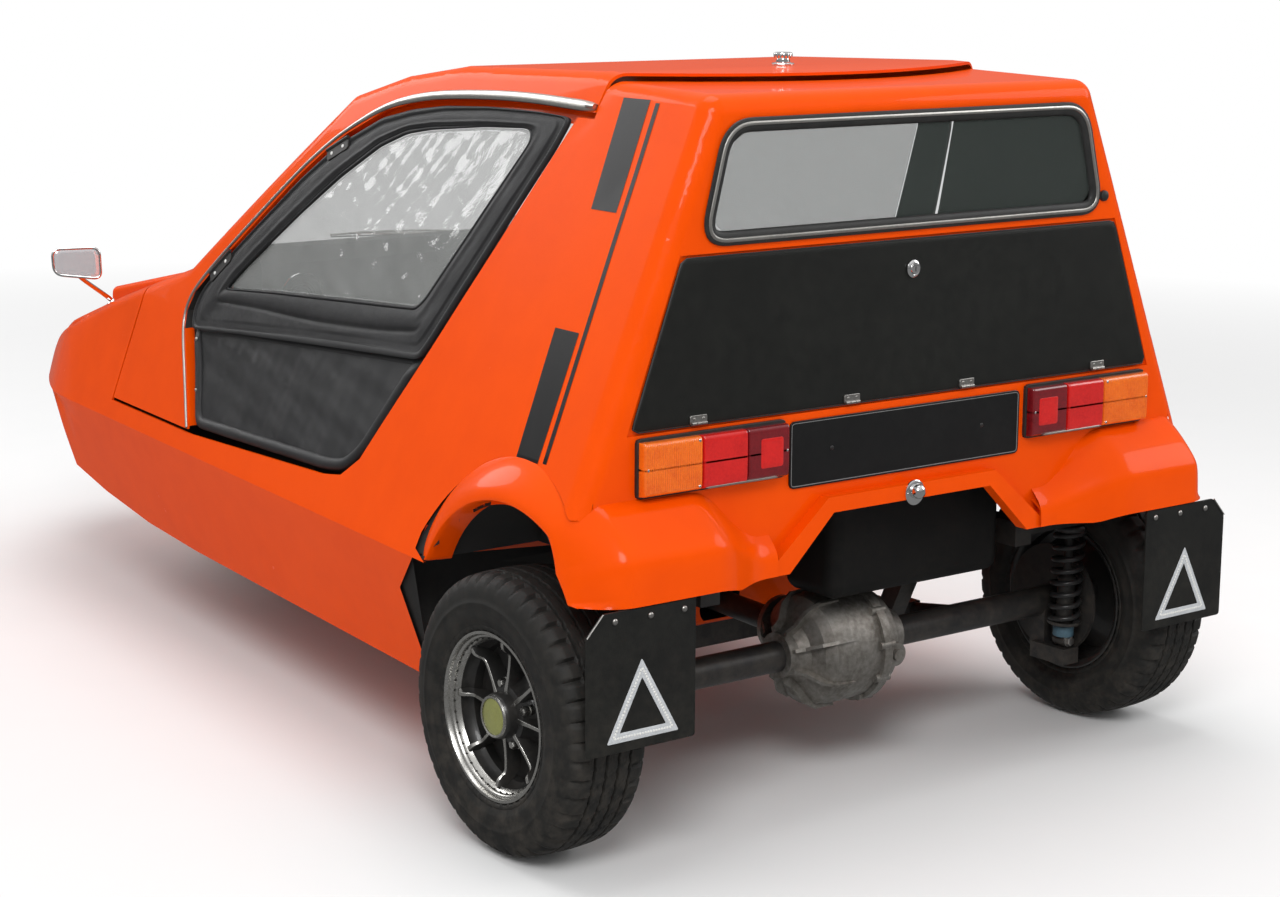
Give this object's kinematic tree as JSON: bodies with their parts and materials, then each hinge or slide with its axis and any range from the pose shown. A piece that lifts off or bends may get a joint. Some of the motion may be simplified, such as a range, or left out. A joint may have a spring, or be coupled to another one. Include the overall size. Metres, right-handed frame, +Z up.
{
  "type": "three wheeled car",
  "caption": "Small wedge shaped car with one front wheel, two rear wheels, a lifting canopy, soft side screens and a drop down boot panel.",
  "frame": {"origin": "on the ground under the centre of the car's overall box", "axes": "+X to the car's left side, +Y to the rear, +Z up"},
  "size_m": [1.46, 2.794, 1.257],
  "materials": {
    "body_paint": "high gloss orange gelcoat",
    "black_moulding": "matt black",
    "black_paint": "satin black",
    "cast_alloy": "cast, dull",
    "spring_steel": "gloss black",
    "engine_grey": "plain",
    "exhaust_steel": "dull",
    "seat_vinyl": "black vinyl",
    "rubber": "satin",
    "glass": "clear",
    "lamp_red": "ribbed lens",
    "plate_black": "satin",
    "chrome": "polished",
    "lamp_clear": "ribbed lens",
    "satin_steel": "satin",
    "alloy_trim": "dull bright",
    "black_vinyl": "grained vinyl",
    "clear_sheet": "flexible clear sheet",
    "panel_black": "satin black",
    "rim_black": "black with polished lip",
    "tyre": "road tread"
  },
  "bodies": {
    "body": {"body_shell": "body_paint", "floor_pan": "black_moulding", "chassis": "black_paint", "rear_axle": "black_paint", "differential": "cast_alloy", "rear_spring_left": "spring_steel", "rear_spring_right": "spring_steel", "fuel_tank": "black_paint", "engine_block": "engine_grey", "gearbox": "cast_alloy", "propshaft": "black_paint", "exhaust": "exhaust_steel", "seat_base_left": "seat_vinyl", "seat_base_right": "seat_vinyl", "seat_back_left": "seat_vinyl", "seat_back_right": "seat_vinyl", "dashboard": "black_moulding", "steering_column": "black_paint", "rear_window_seal": "rubber", "rear_window": "glass", "tail_lamp_left": "lamp_red", "tail_lamp_right": "lamp_red", "number_plate": "plate_black", "plate_lamp": "chrome", "mudflap_left": "rubber", "mudflap_right": "rubber", "headlamp_left": "lamp_clear", "headlamp_right": "lamp_clear", "mirror_left": "chrome", "mirror_right": "chrome", "front_arm": "black_paint", "front_spring": "spring_steel"},
    "canopy": {"canopy_shell": "body_paint", "windscreen_seal": "rubber", "windscreen": "glass", "wiper": "satin_steel", "roof_knob": "chrome", "side_trim_left": "alloy_trim", "side_trim_right": "alloy_trim", "lower_panel_left": "black_vinyl", "lower_panel_right": "black_vinyl"},
    "side_screen_left": {"screen_frame_left": "black_vinyl", "screen_window_left": "clear_sheet"},
    "side_screen_right": {"screen_frame_right": "black_vinyl", "screen_window_right": "clear_sheet"},
    "boot_lid": {"boot_lid": "panel_black", "lid_hinges": "satin_steel", "lid_lock": "chrome"},
    "front_knuckle": {"front_knuckle": "black_paint"},
    "front_wheel": {"rim_front": "rim_black", "tyre_front": "tyre"},
    "rear_wheel_left": {"rim_rear_left": "rim_black", "tyre_rear_left": "tyre"},
    "rear_wheel_right": {"rim_rear_right": "rim_black", "tyre_rear_right": "tyre"},
    "steering_wheel": {"steering_wheel": "black_moulding"}
  },
  "joints": [
    {"name": "canopy_lift", "type": "hinge", "parent": "body", "child": "canopy", "pos_m": [0, -0.6, 0.67], "axis": [1, 0, 0], "range_deg": [0, 45]},
    {"name": "side_screen_left_open", "type": "hinge", "parent": "canopy", "child": "side_screen_left", "pos_m": [0.47053, 0.02991, 0.93058], "axis": [0.1303, -0.8208, -0.5561], "range_deg": [0, 70]},
    {"name": "side_screen_right_open", "type": "hinge", "parent": "canopy", "child": "side_screen_right", "pos_m": [-0.47053, 0.02991, 0.93058], "axis": [0.1303, 0.8208, 0.5561], "range_deg": [0, 70]},
    {"name": "boot_lid_open", "type": "hinge", "parent": "body", "child": "boot_lid", "pos_m": [0, 1.3194, 0.706], "axis": [-1, 0, 0], "range_deg": [0, 85]},
    {"name": "front_steer", "type": "hinge", "parent": "body", "child": "front_knuckle", "pos_m": [0.098, -0.819, 0.232], "axis": [0, 0, 1], "range_deg": [-30, 30]},
    {"name": "front_wheel_spin", "type": "hinge", "parent": "front_knuckle", "child": "front_wheel", "pos_m": [0, -0.819, 0.232], "axis": [1, 0, 0], "continuous": true},
    {"name": "rear_wheel_left_spin", "type": "hinge", "parent": "body", "child": "rear_wheel_left", "pos_m": [0.65, 1.137, 0.232], "axis": [1, 0, 0], "continuous": true},
    {"name": "rear_wheel_right_spin", "type": "hinge", "parent": "body", "child": "rear_wheel_right", "pos_m": [-0.65, 1.137, 0.232], "axis": [1, 0, 0], "continuous": true},
    {"name": "steering_wheel_turn", "type": "hinge", "parent": "body", "child": "steering_wheel", "pos_m": [-0.25, 0.06, 0.745], "axis": [0, 0.9397, 0.342], "range_deg": [-430, 430]}
  ],
  "couplings": [
    {"joint": "steering_wheel_turn", "follows": "front_steer", "ratio": 14}
  ]
}
